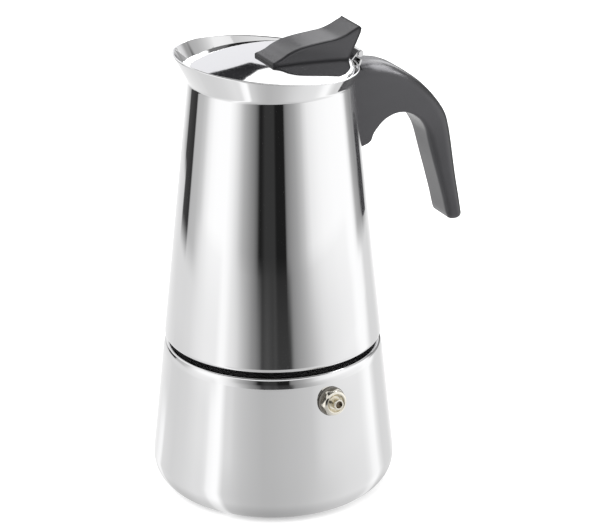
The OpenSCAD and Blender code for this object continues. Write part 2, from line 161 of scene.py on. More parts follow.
def make(name, verts, faces, material, sharp=32.0, matrix=None):
    """One mesh object from millimetre vertices, smooth with crisp edges above the given angle."""
    me = bpy.data.meshes.new(name)
    v = np.asarray(verts, float) * MM
    me.from_pydata([tuple(p) for p in v], [], [tuple(int(i) for i in f) for f in faces])
    if matrix is not None:
        me.transform(matrix)
    bm = bmesh.new()
    bm.from_mesh(me)
    bmesh.ops.remove_doubles(bm, verts=bm.verts, dist=1e-7)
    bmesh.ops.recalc_face_normals(bm, faces=bm.faces)
    bm.to_mesh(me)
    bm.free()
    me.shade_smooth()
    me.set_sharp_from_angle(angle=math.radians(sharp))
    me.validate()
    o = bpy.data.objects.new(name, me)
    scene.collection.objects.link(o)
    me.materials.append(material)
    return o


def lathe_data(profile_at, seg, closed=True, sector=None):
    """Rings of a turned shape. profile_at(angle) gives the same number of (r, z) points at every angle."""
    full = sector is None
    a0, a1 = (0.0, 2 * math.pi) if full else sector
    count = seg if full else seg + 1
    verts, rows = [], []
    for i in range(count):
        a = a0 + (a1 - a0) * i / seg
        pr = profile_at(a)
        row = []
        for r, z in pr:
            row.append(len(verts))
            verts.append((max(r, 0.0) * math.cos(a), max(r, 0.0) * math.sin(a), z))
        rows.append(row)
    n = len(rows[0])
    faces = []
    for i in range(seg):
        p, q = rows[i], rows[(i + 1) % count]
        for j in range(n if closed else n - 1):
            k = (j + 1) % n
            faces.append((p[j], q[j], q[k], p[k]))
    if not full and closed:
        faces.append(tuple(rows[0]))
        faces.append(tuple(reversed(rows[-1])))
    return verts, faces


def clean_faces(verts, faces):
    """Drops the repeated corners that appear on the axis of a turned shape."""
    v = np.round(np.asarray(verts, float), 7)
    keys, remap = {}, []
    for p in map(tuple, v):
        remap.append(keys.setdefault(p, len(keys)))
    uniq = [None] * len(keys)
    for p, i in keys.items():
        uniq[i] = p
    out = []
    for f in faces:
        g = []
        for i in f:
            k = remap[i]
            if not g or g[-1] != k:
                g.append(k)
        if len(g) > 1 and g[0] == g[-1]:
            g.pop()
        if len(set(g)) >= 3:
            out.append(tuple(g))
    return uniq, out


def lathe(name, profile, material, seg=320, sharp=32.0, matrix=None, sector=None):
    fn = profile if callable(profile) else (lambda a: profile)
    verts, faces = clean_faces(*lathe_data(fn, seg, True, sector))
    return make(name, verts, faces, material, sharp, matrix)


def joined(name, parts):
    """Joins several objects into the first one's mesh."""
    bm = bmesh.new()
    for o in parts:
        bm.from_mesh(o.data)
    me = parts[0].data
    bm.to_mesh(me)
    bm.free()
    for o in parts[1:]:
        bpy.data.objects.remove(o)
    parts[0].name = name
    return parts[0]


def cut(target, *cutters, sharp=32.0):
    """Exact boolean difference, applied."""
    for c in cutters:
        m = target.modifiers.new("cut", "BOOLEAN")
        m.operation, m.solver, m.object = "DIFFERENCE", "EXACT", c
    dg = bpy.context.evaluated_depsgraph_get()
    me = bpy.data.meshes.new_from_object(target.evaluated_get(dg))
    target.modifiers.clear()
    old = target.data
    target.data = me
    bpy.data.meshes.remove(old)
    for c in cutters:
        bpy.data.objects.remove(c)
    me.shade_smooth()
    me.set_sharp_from_angle(angle=math.radians(sharp))
    return target


def box_cutter(lo, hi):
    v = [(x, y, z) for x in (lo[0], hi[0]) for y in (lo[1], hi[1]) for z in (lo[2], hi[2])]
    f = [(0, 1, 3, 2), (4, 6, 7, 5), (0, 4, 5, 1), (2, 3, 7, 6), (0, 2, 6, 4), (1, 5, 7, 3)]
    return make("cutter", v, f, dummy)


def section(d, w, ri, ro, crown=0.0, tuck=0.0, na=7, nf=4):
    """Rounded rectangle, u across -w..w and v from 0 to d, with its own radii below and above, a crowned top
    and sides that draw in towards the lower edge."""
    ri, ro = min(ri, d * 0.46, w * 0.9), min(ro, d * 0.52, w * 0.9)
    pts = []

    def arc(cx, cz, r, a0, a1):
        for j in range(na + 1):
            a = math.radians(a0 + (a1 - a0) * j / na)
            pts.append((cx + r * math.cos(a), cz + r * math.sin(a)))

    def line(a, b, n):
        g = 0.04
        for t in [g] + [k / n for k in range(1, n)] + [1 - g]:
            pts.append((a[0] + (b[0] - a[0]) * t, a[1] + (b[1] - a[1]) * t))

    arc(w - ri, ri, ri, -90, 0)
    line((w, ri), (w, d - ro), nf)
    arc(w - ro, d - ro, ro, 0, 90)
    line((w - ro, d), (-w + ro, d), 2 * nf)
    arc(-w + ro, d - ro, ro, 90, 180)
    line((-w, d - ro), (-w, ri), nf)
    arc(-w + ri, ri, ri, 180, 270)
    line((-w + ri, 0), (w - ri, 0), 2 * nf)
    return [(u * (1 - tuck / w * max(0.0, 1 - 1.4 * v / d) ** 1.5), v - crown * (v / d) * (u / w) ** 2) for u, v in pts]


def loft(name, stations, material, sharp=40.0):
    """Solid through rounded sections. A station is (lower point, upper point, half width, lower radius, upper radius, crown, tuck)."""
    verts, rows = [], []
    for lo, up, w, ri, ro, crown, tuck in stations:
        lo, up = np.array(lo, float), np.array(up, float)
        d = float(np.linalg.norm(up - lo))
        e = (up - lo) / d
        row = []
        for u, v in section(d, w, ri, ro, crown, tuck):
            row.append(len(verts))
            verts.append((lo[0] + e[0] * v, u, lo[1] + e[1] * v))
        rows.append(row)
    n, faces = len(rows[0]), []
    for p, q in zip(rows[:-1], rows[1:]):
        for j in range(n):
            k = (j + 1) % n
            faces.append((p[j], p[k], q[k], q[j]))
    faces.append(tuple(reversed(rows[0])))
    faces.append(tuple(rows[-1]))
    return make(name, verts, faces, material, sharp)


# ------------------------------------------------------------------ material helpers
def new_mat(name):
    m = bpy.data.materials.new(name)
    m.use_nodes = True
    nt = m.node_tree
    return m, nt, nt.nodes["Principled BSDF"]


def node(nt, kind, **values):
    n = nt.nodes.new(kind)
    for k, v in values.items():
        if k in n.inputs:
            n.inputs[k].default_value = v
        else:
            setattr(n, k, v)
    return n


def ramp(nt, fac, stops, interpolation="LINEAR"):
    n = nt.nodes.new("ShaderNodeValToRGB")
    n.color_ramp.interpolation = interpolation
    els = n.color_ramp.elements
    while len(els) > 1:
        els.remove(els[-1])
    for i, (p, c) in enumerate(stops):
        e = els[0] if i == 0 else els.new(p)
        e.position = p
        e.color = (c, c, c, 1) if not isinstance(c, tuple) else (*c, 1)
    nt.links.new(fac, n.inputs["Fac"])
    return n.outputs["Color"]


def math_node(nt, op, a, b=None, c=None, clamp=False):
    n = nt.nodes.new("ShaderNodeMath")
    n.operation, n.use_clamp = op, clamp
    for i, v in enumerate((a, b, c)):
        if v is None:
            continue
        if isinstance(v, (int, float)):
            n.inputs[i].default_value = v
        else:
            nt.links.new(v, n.inputs[i])
    return n.outputs[0]


def range_node(nt, value, lo, hi, to_lo, to_hi, smooth=False):
    n = nt.nodes.new("ShaderNodeMapRange")
    if smooth:
        n.interpolation_type = "SMOOTHSTEP"
    nt.links.new(value, n.inputs["Value"])
    for k, v in (("From Min", lo), ("From Max", hi), ("To Min", to_lo), ("To Max", to_hi)):
        n.inputs[k].default_value = v
    return n.outputs["Result"]


def polar(nt, centre=(0, 0)):
    """Radius, turn and height of the shaded point about a vertical axis, as sockets in metres and turns."""
    tc = nt.nodes.new("ShaderNodeTexCoord")
    sep = nt.nodes.new("ShaderNodeSeparateXYZ")
    nt.links.new(tc.outputs["Object"], sep.inputs[0])
    x, y, z = sep.outputs
    if centre != (0, 0):
        x = math_node(nt, "SUBTRACT", x, centre[0])
        y = math_node(nt, "SUBTRACT", y, centre[1])
    r = math_node(nt, "SQRT", math_node(nt, "ADD", math_node(nt, "MULTIPLY", x, x), math_node(nt, "MULTIPLY", y, y)))
    a = math_node(nt, "ADD", math_node(nt, "MULTIPLY", math_node(nt, "ARCTAN2", y, x), 1 / (2 * math.pi)), 0.5)
    return r, a, z


def turned_noise(nt, along, around, lift, detail=3.0):
    """Noise drawn out round the axis, like the marks of polishing on a lathe: fine across, long around."""
    r, a, z = polar(nt)
    v = nt.nodes.new("ShaderNodeCombineXYZ")
    tc = nt.nodes.new("ShaderNodeTexCoord")
    sep = nt.nodes.new("ShaderNodeSeparateXYZ")
    nt.links.new(tc.outputs["Object"], sep.inputs[0])
    # x and y give the turn without a seam, and r and z the fine marks
    nt.links.new(math_node(nt, "MULTIPLY", sep.outputs[0], around), v.inputs[0])
    nt.links.new(math_node(nt, "MULTIPLY", sep.outputs[1], around), v.inputs[1])
    nt.links.new(math_node(nt, "ADD", math_node(nt, "MULTIPLY", z, along), math_node(nt, "MULTIPLY", r, lift)), v.inputs[2])
    n = node(nt, "ShaderNodeTexNoise", Scale=1.0, Detail=detail, Roughness=0.6)
    nt.links.new(v.outputs[0], n.inputs["Vector"])
    return n.outputs["Fac"]


def bump(nt, bsdf, height, strength, distance):
    b = node(nt, "ShaderNodeBump", Strength=strength, Distance=distance)
    nt.links.new(height, b.inputs["Height"])
    nt.links.new(b.outputs["Normal"], bsdf.inputs["Normal"])


def chrome_material(name, base, rough_lo, rough_hi, marks=0.004, along=900.0, around=10.0, lift=0.0, smudge=True):
    """Mirror-polished sheet: a near mirror with faint turned polishing marks and a few soft smudges."""
    m, nt, b = new_mat(name)
    b.inputs["Metallic"].default_value = 1.0
    b.inputs["Base Color"].default_value = (*base, 1)
    fine = turned_noise(nt, along, around, lift)
    tc = nt.nodes.new("ShaderNodeTexCoord")
    soft = node(nt, "ShaderNodeTexNoise", Scale=38.0, Detail=4.0, Roughness=0.55)
    nt.links.new(tc.outputs["Object"], soft.inputs["Vector"])
    wear = range_node(nt, soft.outputs["Fac"], 0.52, 0.72, 0.0, 0.5 if smudge else 0.0, smooth=True)
    mixed = math_node(nt, "MAXIMUM", range_node(nt, fine, 0.35, 0.75, 0.0, 0.6), wear)
    nt.links.new(range_node(nt, mixed, 0.0, 1.0, rough_lo, rough_hi), b.inputs["Roughness"])
    bump(nt, b, fine, marks, 0.0004)
    return m


def brushed_material(name, base, rough, along=2600.0, around=14.0, lift=0.0, strength=0.12):
    """Turned or brushed steel: long fine scratches round the axis that break up the highlights."""
    m, nt, b = new_mat(name)
    b.inputs["Metallic"].default_value = 1.0
    fine = turned_noise(nt, along, around, lift, 5.0)
    col = ramp(nt, fine, [(0.3, tuple(c * 0.86 for c in base)), (0.7, base)])
    nt.links.new(col, b.inputs["Base Color"])
    nt.links.new(range_node(nt, fine, 0.3, 0.7, rough + 0.08, rough - 0.05), b.inputs["Roughness"])
    bump(nt, b, fine, strength, 0.00015)
    return m


def plastic_material(name, dark, light, rough=0.4, grain=2600.0, edge=0.0):
    """Satin black moulded plastic: fine spark-eroded grain and slightly paler rubbed patches; with edge set, painted
    shade along the edges, whose specular is cut so they read darker.
    """
    m, nt, b = new_mat(name)
    tc = nt.nodes.new("ShaderNodeTexCoord")
    g = node(nt, "ShaderNodeTexNoise", Scale=grain, Detail=2.0, Roughness=0.5)
    s = node(nt, "ShaderNodeTexNoise", Scale=60.0, Detail=3.0, Roughness=0.5)
    nt.links.new(tc.outputs["Object"], g.inputs["Vector"])
    nt.links.new(tc.outputs["Object"], s.inputs["Vector"])
    nt.links.new(ramp(nt, s.outputs["Fac"], [(0.35, dark), (0.7, light)]), b.inputs["Base Color"])
    nt.links.new(range_node(nt, s.outputs["Fac"], 0.35, 0.7, rough - 0.03, rough + 0.04), b.inputs["Roughness"])
    b.inputs["IOR"].default_value = 1.65
    b.inputs["Specular Tint"].default_value = (0.965, 0.955, 1.0, 1)
    if edge:
        # painted shade: the specular falls off within the edge distance of an edge, found by ambient occlusion inside
        # the piece, so the edges read darker
        near = nt.nodes.new("ShaderNodeAmbientOcclusion")
        near.inside, near.only_local, near.samples = True, True, 12
        near.inputs["Distance"].default_value = edge
        nt.links.new(range_node(nt, near.outputs["AO"], 0.56, 0.93, 0.05, 0.5), b.inputs["Specular IOR Level"])
    bump(nt, b, g.outputs["Fac"], 0.16, 0.00012)
    return m


dummy, _, _ = new_mat("cutter_mat")
STEEL = (0.80, 0.80, 0.805)
mirror = chrome_material("mirror_steel", STEEL, 0.03, 0.065)
mirror_lid = chrome_material("mirror_steel_lid", STEEL, 0.035, 0.07, along=0.0, lift=900.0)
satin = brushed_material("satin_steel", (0.70, 0.70, 0.705), 0.26)
satin_flat = brushed_material("satin_steel_flat", (0.70, 0.70, 0.705), 0.26, along=0.0, lift=2600.0)
disc_steel = brushed_material("turned_disc", (0.66, 0.66, 0.66), 0.30, along=0.0, lift=1500.0, strength=0.3)
plastic = plastic_material("satin_black_plastic", (0.017, 0.017, 0.018), (0.022, 0.022, 0.0235), rough=0.24)
# the knob carries the painted edge shade
plastic_knob = plastic_material("satin_black_knob", (0.017, 0.017, 0.018), (0.022, 0.022, 0.0235), rough=0.24, edge=0.0016)
valve_metal = chrome_material("nickelled_brass", (0.82, 0.785, 0.70), 0.12, 0.24, marks=0.01)
valve_dark = chrome_material("dark_brass", (0.16, 0.13, 0.10), 0.30, 0.42, marks=0.01)
# painted shade: a dark, rough steel standing in for the shade inside the seam between boiler and jug
painted_shade_steel = brushed_material("painted_shade_steel", (0.14, 0.14, 0.145), 0.50, strength=0.03)
small_steel = chrome_material("small_steel", (0.58, 0.58, 0.585), 0.08, 0.18)

m_wash, nt, b = new_mat("dark_washer")
tc = nt.nodes.new("ShaderNodeTexCoord")
ns = node(nt, "ShaderNodeTexNoise", Scale=900.0, Detail=3.0)
nt.links.new(tc.outputs["Object"], ns.inputs["Vector"])
nt.links.new(ramp(nt, ns.outputs["Fac"], [(0.3, (0.085, 0.08, 0.07)), (0.7, (0.13, 0.12, 0.105))]), b.inputs["Base Color"])
b.inputs["Roughness"].default_value = 0.5
bump(nt, b, ns.outputs["Fac"], 0.15, 0.0002)

m_seal, nt, b = new_mat("silicone_seal")
tc = nt.nodes.new("ShaderNodeTexCoord")
ns = node(nt, "ShaderNodeTexNoise", Scale=420.0, Detail=4.0)
nt.links.new(tc.outputs["Object"], ns.inputs["Vector"])
nt.links.new(ramp(nt, ns.outputs["Fac"], [(0.3, (0.66, 0.64, 0.58)), (0.7, (0.74, 0.72, 0.67))]), b.inputs["Base Color"])
b.inputs["Roughness"].default_value = 0.45
b.inputs["Subsurface Weight"].default_value = 0.15
b.inputs["Subsurface Radius"].default_value = (0.003, 0.0025, 0.002)
bump(nt, b, ns.outputs["Fac"], 0.1, 0.0002)

# ------------------------------------------------------------------ boiler
corner_r = 12.0
corner_x = cone(corner_r) - corner_r / math.cos(CONE_A)


def arc_pts(cx, cz, r, a0, a1, n):
    return [(cx + r * math.cos(math.radians(a0 + (a1 - a0) * i / n)), cz + r * math.sin(math.radians(a0 + (a1 - a0) * i / n))) for i in range(n + 1)]


a_out = -90 + math.degrees(math.acos((corner_r - 0.4) / corner_r))
a_in = -90 + math.degrees(math.acos((corner_r - 1.4) / (corner_r - 1)))
shoulder = catmull([(cone(57.4), 57.4), (cone(59.2), 59.2), (cone(60.8) - 0.10, 60.8), (cone(62.3) - 0.36, 62.3), (cone(62.86) - 0.72, 62.88),
                    (cone(63) - 1.35, 63.12), (cone(63) - 2.4, 63.15), (cone(63) - 4, 63.15)], 5)
outer = ([(0, 3.0), (36.3, 3.0), (36.3, 0.55), (36.45, 0.4)]
         + arc_pts(corner_x, corner_r, corner_r, a_out, math.degrees(CONE_A), 30)
         + [tuple(p) for p in shoulder[5:]]
         + rounded([(38.4, 63.15, 0), (37.4, 63.15, 0.4), (37.4, 73.5, 0.5), (33.0, 73.5, 0.3), (33.0, 72.5, 0.3), (36.4, 72.5, 0.4), (36.4, 62.15, 0.4), (44.1, 62.15, 1.0),
                    (44.2, 57.0, 0)], closed=False)[1:])
inner = (arc_pts(corner_x, corner_r, corner_r - 1, math.degrees(CONE_A), a_in, 20) + [(37.3, 1.4), (37.3, 4.0), (0, 4.0)])
boiler = lathe("boiler_body", dense(outer + inner, 4.0, closed=False) + [(0, 3.5)], mirror, 384)


def ridge(name, foot, crest, z0, turns, pitch, material):
    """Helical thread ridge that fades at both ends."""
    n = int(turns * 120)
    side = -0.3 if crest > foot else 0.3
    verts, faces = [], []
    for i in range(n + 1):
        a, z = 2 * math.pi * turns * i / n, z0 + pitch * turns * i / n
        s = min(1.0, (i + 0.3) / 9, (n - i + 0.3) / 9)
        c = foot + (crest - foot) * s
        prof = [(foot + side, -0.95), (foot + 0.4 * (c - foot), -0.78), (foot + 0.85 * (c - foot), -0.5), (c, -0.25), (c, 0.25),
                (foot + 0.85 * (c - foot), 0.5), (foot + 0.4 * (c - foot), 0.78), (foot + side, 0.95)]
        verts += [(r * math.cos(a), r * math.sin(a), z + dz) for r, dz in prof]
    for i in range(n):
        for j in range(8):
            k = (j + 1) % 8
            faces.append((8 * i + j, 8 * i + k, 8 * i + 8 + k, 8 * i + 8 + j))
    faces.append(tuple(range(8)))
    faces.append(tuple(8 * n + j for j in reversed(range(8))))
    return make(name, verts, faces, material, 50)


boiler = joined("boiler_body", [boiler, ridge("t", 37.4, 38.6, 65.5, 1.5, 4.0, mirror)])


def trim(obj, factor):
    """Shrinks a turned piece about the axis by a few hundredths of a millimetre."""
    obj.data.transform(Matrix.Diagonal((factor, factor, 1.0, 1.0)))


trim(boiler, 0.9996)


def second_finish(obj, material, inside):
    """Gives the faces whose centre (radius, height, mm) passes the test a finish of their own."""
    obj.data.materials.append(material)
    for f in obj.data.polygons:
        if inside(math.hypot(f.center.x, f.center.y) * 1000, f.center.z * 1000):
            f.material_index = 1


# painted shade: the foot of the neck and the floor of the seam get a dark, rough steel that stands in for the shade
# inside the seam
second_finish(boiler, painted_shade_steel, lambda r, z: 37.2 < r < 42.6 and 62.9 < z < 65.2)
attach(boiler, "boiler")
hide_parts("boiler_shell")

disc = lathe("base_plate", dense(rounded([(0, 0, 0), (36.3, 0, 1.0), (36.3, 3.0, 0.1), (0, 3.0, 0)], closed=False), 6.0, closed=False), disc_steel, 256)
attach(disc, "boiler")
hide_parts("base_disc")

# ------------------------------------------------------------------ jug
J_T, EDGE = 0.8, 1.5
EDGE_Z = 65.35 + EDGE
DV = np.array((FLARE, 1.0)) / math.hypot(FLARE, 1.0)   # along the flare
NV = np.array((DV[1], -DV[0]))                          # out of it


def bez(p, q, s, n):
    p, q, s = map(lambda t: np.array(t, float), (p, q, s))
    return [tuple((1 - u) ** 2 * p + 2 * u * (1 - u) * q + u * u * s) for u in np.linspace(0, 1, n + 1)]


f_t = J_T / math.cos(math.atan(FLARE))
out_fixed = dense([(40.2, 65.35), (41.5, 65.35)] + arc_pts(cone(EDGE_Z) - EDGE, EDGE_Z, EDGE, -90, 6, 10) + [(cone(BLEND_LO), BLEND_LO)], 3.0, closed=False)[:-1]
out_fixed += bez((cone(BLEND_LO), BLEND_LO), (CREASE_R, CREASE_Z), (flare(BLEND_HI), BLEND_HI), 12)
in_fixed = bez((flare(BLEND_IN) - f_t, BLEND_IN), (cone(CREASE_Z + 0.16) - J_T, CREASE_Z + 0.16), (cone(BLEND_LO) - J_T, BLEND_LO), 12)
in_fixed += dense([(cone(BLEND_LO) - J_T, BLEND_LO)] + arc_pts(cone(EDGE_Z) - EDGE, EDGE_Z, EDGE - J_T, 4, -90, 6) + [(40.2, 65.35 + J_T)], 6.0, closed=False)[1:]


def jug_profile(a):
    c = math.cos(a)
    zt = (RIM_Z - RIM_FALL * c * (CREASE_R - FLARE * CREASE_Z)) / (1 + RIM_FALL * FLARE * c)
    top = np.array((flare(zt), zt))
    half = J_T / 2
    mid = top - NV * half - DV * 0.62
    p0 = mid + NV * half
    p1 = mid - NV * half
    up = [tuple(np.array((flare(BLEND_HI), BLEND_HI)) * (1 - t) + p0 * t) for t in (0.06, 0.3, 0.6, 0.9, 0.97)]
    roll = [tuple(mid + half * (NV * math.cos(b) + DV * math.sin(b))) for b in np.linspace(0, math.pi, 13)]
    s = np.array((flare(BLEND_IN) - f_t, BLEND_IN))
    down = [tuple(p1 * (1 - t) + s * t) for t in (0.03, 0.1, 0.4, 0.7, 0.94)]
    return out_fixed + up + roll + down + in_fixed


jug = lathe("jug_body", jug_profile, mirror, 448)
# painted shade: the jug's lower collar inside the seam gets the same dark steel
second_finish(jug, painted_shade_steel, lambda r, z: r < 42.6 and z < 65.6)
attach(jug, "jug")
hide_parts("jug_shell")

# ------------------------------------------------------------------ lid
r_t = 31.5 + 1.9 * math.sin(math.radians(5.48))
cz = lid_top(r_t) - 1.9 * math.cos(math.radians(5.48))
dome = [(r, lid_top(r)) for r in np.linspace(0, r_t, 22)[:-1]]
under = [(r, lid_top(r) - LID_T) for r in np.linspace(r_t - 0.05, 0, 20)]
rim = arc_pts(31.5, cz, 1.9, 84.52, 0, 16)
flange = [(LID_R, z) for z in (cz - 0.2, 177.2)] + arc_pts(LID_R - LID_T / 2, 176.8 + LID_T / 2, LID_T / 2, 0, -180, 8) + [(LID_R - LID_T, 177.3)]
in_rim = arc_pts(31.5, cz, 1.9 - LID_T, 0, 84.52, 12)
lid = lathe("lid_body", dome + rim + flange + in_rim + under[1:], mirror_lid, 384)
cut(lid, box_cutter((31.0, -8.3, 176.0), (37.0, 8.3, 182.0)))
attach(lid, "lid")
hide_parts("lid_shell")

# ------------------------------------------------------------------ handle
# outer x, outer z, inner x, inner z, radius of the outer edges, half width, narrowing at the inner edge
rows = catmull([(31, 176.6, 30, 141, 6.2, 8.7, 0), (35, 176.75, 36, 142, 6.2, 8.7, 0), (38, 176.8, 40.1, 143.6, 6.2, 8.7, 0),
                (41.5, 176.7, 41.5, 146.6, 6.2, 8.7, 0), (44.8, 176.2, 43.5, 149.2, 6.2, 8.7, 0), (47.8, 175.5, 46.4, 151.9, 6.2, 8.7, 0),
                (51.4, 174, 50.4, 153.7, 6, 8.7, 0), (55.2, 171.8, 54, 154.1, 5.2, 8.7, 0), (59.4, 168.9, 57.4, 153.4, 4.6, 8.7, 0),
                (64.8, 164.5, 61, 151.3, 4.3, 8.7, 0), (70.4, 158.5, 64, 148.4, 4.2, 8.7, 0.1), (75.5, 151.2, 66.2, 144.6, 4.2, 8.7, 0.4),
                (77.5, 145.2, 67.4, 141, 4.2, 8.7, 0.8), (78.9, 137.9, 68.9, 135.5, 4.2, 8.7, 1), (80, 130.5, 70.5, 129.8, 4, 8.7, 1),
                (81.3, 121.9, 72.6, 122.6, 3.8, 8.7, 1), (82.8, 113.2, 75.2, 113.2, 3.4, 8.7, 1), (83.78, 106.9, 76.7, 107, 3, 8.7, 1),
                (83.97, 105.3, 77.4, 104.9, 2.8, 8.6, 1), (83.5, 104.2, 78, 103.8, 2.4, 8.1, 0.9), (82.3, 103.6, 79.2, 103.3, 1.2, 7.2, 0.6)], 6)
stations = []
for i, q in enumerate(rows):
    k = i / 6
    soft = float(np.interp(k, [8, 12, 17, 19, 20], [0.6, 2.6, 2.4, 1.4, 0.8]))   # rounding of the inner edges, softer down the grip
    stations.append(((q[2], q[3]), (q[0], q[1]), q[5], soft, q[4], 0.3, q[6] * 0.9))
handle = loft("handle_grip", stations, plastic)
seat = lathe("seat", [(0, 128.0), (cone(128) + 0.02, 128.0), (cone(BLEND_LO) + 0.02, BLEND_LO)] + [(r + 0.02, z) for r, z in bez((cone(BLEND_LO), BLEND_LO), (CREASE_R, CREASE_Z), (flare(BLEND_HI), BLEND_HI), 8)][1:]
             + [(flare(180) + 0.02, 180.0), (0, 180.0)], dummy, 384)
pocket = lathe("pocket", [(30, 149.6), (cone(149.6) + 1.4, 149.6), (cone(168.4) + 1.4, 168.4), (30, 168.4)], dummy, 24, sector=(math.radians(-11), math.radians(11)))
slot_cut = box_cutter((30, -5.2, 159.9), (56.2, 5.2, 162.7))


def post(x, y, z0, z1, r, seg=48):
    return lathe("post", [(0, z0), (r, z0), (r, z1), (0, z1)], dummy, seg, matrix=Matrix.Translation((x * MM, y * MM, 0)))


relief = box_cutter((28, -8.4, 174.2), (36.6, 8.4, 181.0))
cut(handle, seat, relief, pocket, slot_cut, post(50, 0, 140, 157.2, 4.0), post(50, 0, 150, 166, 2.2))
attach(handle, "jug")
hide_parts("handle")

# ------------------------------------------------------------------ knob
k_top = catmull([(-3, 182.3), (-2.5, 182.65), (1.1, 184), (4.5, 185.8), (9.1, 187.3), (14.5, 188.1), (20, 188.6), (25.3, 189.1), (29.3, 190.2), (32.6, 191.7), (35.2, 192.8)], 8)
top_pts = resample(k_top, 80)
stations = []
for i, (x, z) in enumerate(top_pts):
    t = i / 80
    if t < 0.80:
        xb = -3 + (30.2 + 3) * (t / 0.80)
        lo = (xb, lid_top(max(xb, 0)) - 0.4)
    else:
        u = (t - 0.80) / 0.20
        back = resample([(30.2, lid_top(30.2) - 0.4), (30.4, 180.4), (31.3, 182.2), (33.4, 186.1), (35.4, 190.3), (35.75, 192.0)], 40)
        lo = tuple(back[int(round(u * 40))])
    stations.append((lo, (x, z), HANDLE_W / 2, 0.15, 0.5 + 0.7 * min(1.0, i / 4), 0.1, 0.0))
knob = loft("knob_grip", stations, plastic_knob)
seat = lathe("seat", [(r, lid_top(r) + 0.03) for r in np.linspace(0, 36, 30)] + [(36, 170), (0, 170)], dummy, 256)
cut(knob, seat, *[post(x, 0, 170, 186.6, 1.5) for x in (17, 27)])
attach(knob, "lid")
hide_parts("lid_knob")

# ------------------------------------------------------------------ safety valve
at_valve = (Matrix.Rotation(math.radians(VALVE_TURN), 4, "Z") @ Matrix.Translation((cone(VALVE_Z) * MM, 0, VALVE_Z * MM))
            @ Matrix.Rotation(-CONE_A, 4, "Y") @ Matrix.Rotation(math.radians(90), 4, "Y"))
# the lathe's own axis is +Z here, and the matrix lays it along the valve's axis


def hexagon(a, flat):
    """Distance from the axis to a hexagon with slightly rounded corners."""
    w = (a + math.radians(30)) % math.radians(60) - math.radians(30)
    return flat / math.cos(w) - 0.35 * flat * max(0.0, abs(w) - math.radians(22)) ** 2 * 6


def valve_profile(a):
    h = hexagon(a, 5.0)
    front = []
    for u, r in rounded([(1.0, 5.2), (1.25, 5.75, 0.2), (2.6, 5.45, 1.5), (3.7, 4.95, 0.8), (4.2, 4.1, 0.35), (4.05, 3.75, 0.3), (3.2, 3.35, 0.6), (2.6, 2.7, 0.4), (2.6, 2.15, 0.0)], closed=False, step=8):
        front.append((min(r, h) if u < 4.0 and r > 4.0 else r, u))
    boss = rounded([(2.6, 2.15), (6.2, 2.15, 0.35), (6.2, 1.46, 0.1), (-1.2, 1.46), (-1.2, 2.9), (-9.6, 2.9), (-9.6, 4.0), (1.0, 4.0)], closed=False, step=10)
    return front[:-1] + [(r, u) for u, r in boss]


body = lathe("valve_fitting", valve_profile, valve_metal, 192, sharp=28.0, matrix=at_valve)
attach(body, "boiler")
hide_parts("valve_body")
washer = lathe("valve_ring", rounded([(4.05, 0, 0), (5.9, 0, 0.2), (5.9, 1.0, 0.3), (4.05, 1.0, 0)], step=15), m_wash, 96, matrix=at_valve)
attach(washer, "boiler")
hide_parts("valve_washer")

# the plug's spring: a smooth coil
verts, faces = [], []
turns, per, ring = 4, 40, 10
for i in range(turns * per + 1):
    t = 2 * math.pi * i / per
    for j in range(ring):
        b = 2 * math.pi * j / ring
        rr = 2.1 + 0.28 * math.cos(b)
        verts.append((rr * math.cos(t), rr * math.sin(t), -6.25 + 4.70 * i / (turns * per) + 0.28 * math.sin(b)))
        if i:
            k = (j + 1) % ring
            faces.append((ring * (i - 1) + j, ring * i + j, ring * i + k, ring * (i - 1) + k))
faces += [tuple(range(ring)), tuple(range(ring * turns * per, ring * (turns * per + 1)))]
spring = make("plug_spring", verts, faces, small_steel, 40.0, at_valve)
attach(spring, "boiler")
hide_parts("valve_spring")
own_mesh(spring)

# ------------------------------------------------------------------ finishes of the CAD nodes that stay
finish = {
    "valve_nut": valve_metal, "valve_seat": valve_metal, "valve_stem": valve_dark, 
    "funnel_cup": satin, "funnel_tube": satin, "funnel_sieve": satin_flat, "filter_plate": satin_flat, "gasket": m_seal,
    "thread_collar": satin, "jug_floor": satin_flat, "riser_tube": satin, "riser_cap": satin,
    "handle_bracket": satin, "handle_screw": small_steel, "hinge_bracket": small_steel, "hinge_pin": small_steel,
    "lid_hinge_leaf": small_steel, "knob_screws": small_steel,
}
for name, mat in finish.items():
    o = nodes[name]
    if not o.material_slots:
        o.data.materials.append(mat)
    for s in o.material_slots:
        s.material = mat

# ------------------------------------------------------------------ floor
floor = bpy.data.objects.new("floor", bpy.data.meshes.new("floor"))
scene.collection.objects.link(floor)
bm = bmesh.new()
bmesh.ops.create_grid(bm, x_segments=2, y_segments=2, size=6.0)
bm.to_mesh(floor.data)
bm.free()
m_floor, nt, b = new_mat("pale_floor")
b.inputs["Base Color"].default_value = (0.93, 0.93, 0.93, 1)
b.inputs["Roughness"].default_value = 1.0
b.inputs["Specular IOR Level"].default_value = 0.0
b.inputs["Emission Color"].default_value = (1, 1, 1, 1)
b.inputs["Emission Strength"].default_value = 0.25
floor.data.materials.append(m_floor)
floor.location.z = -0.0002
floor.visible_glossy = False
floor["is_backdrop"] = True

# ------------------------------------------------------------------ what the polished steel sees: a tent with dark gaps
SIDE_R, SIDE_TOP = 0.312, 0.40
CAM_TURN = math.radians(-115.0)


def tent_material(name):
    m = bpy.data.materials.new(name)
    m.use_nodes = True
    nt = m.node_tree
    nt.nodes.clear()
    out = nt.nodes.new("ShaderNodeOutputMaterial")
    em = nt.nodes.new("ShaderNodeEmission")
    nt.links.new(em.outputs[0], out.inputs[0])
    m.cycles.emission_sampling = "NONE"
    return m, nt, em


def degs(stops):
    return [((a + 180.0) / 360.0, v) for a, v in stops]


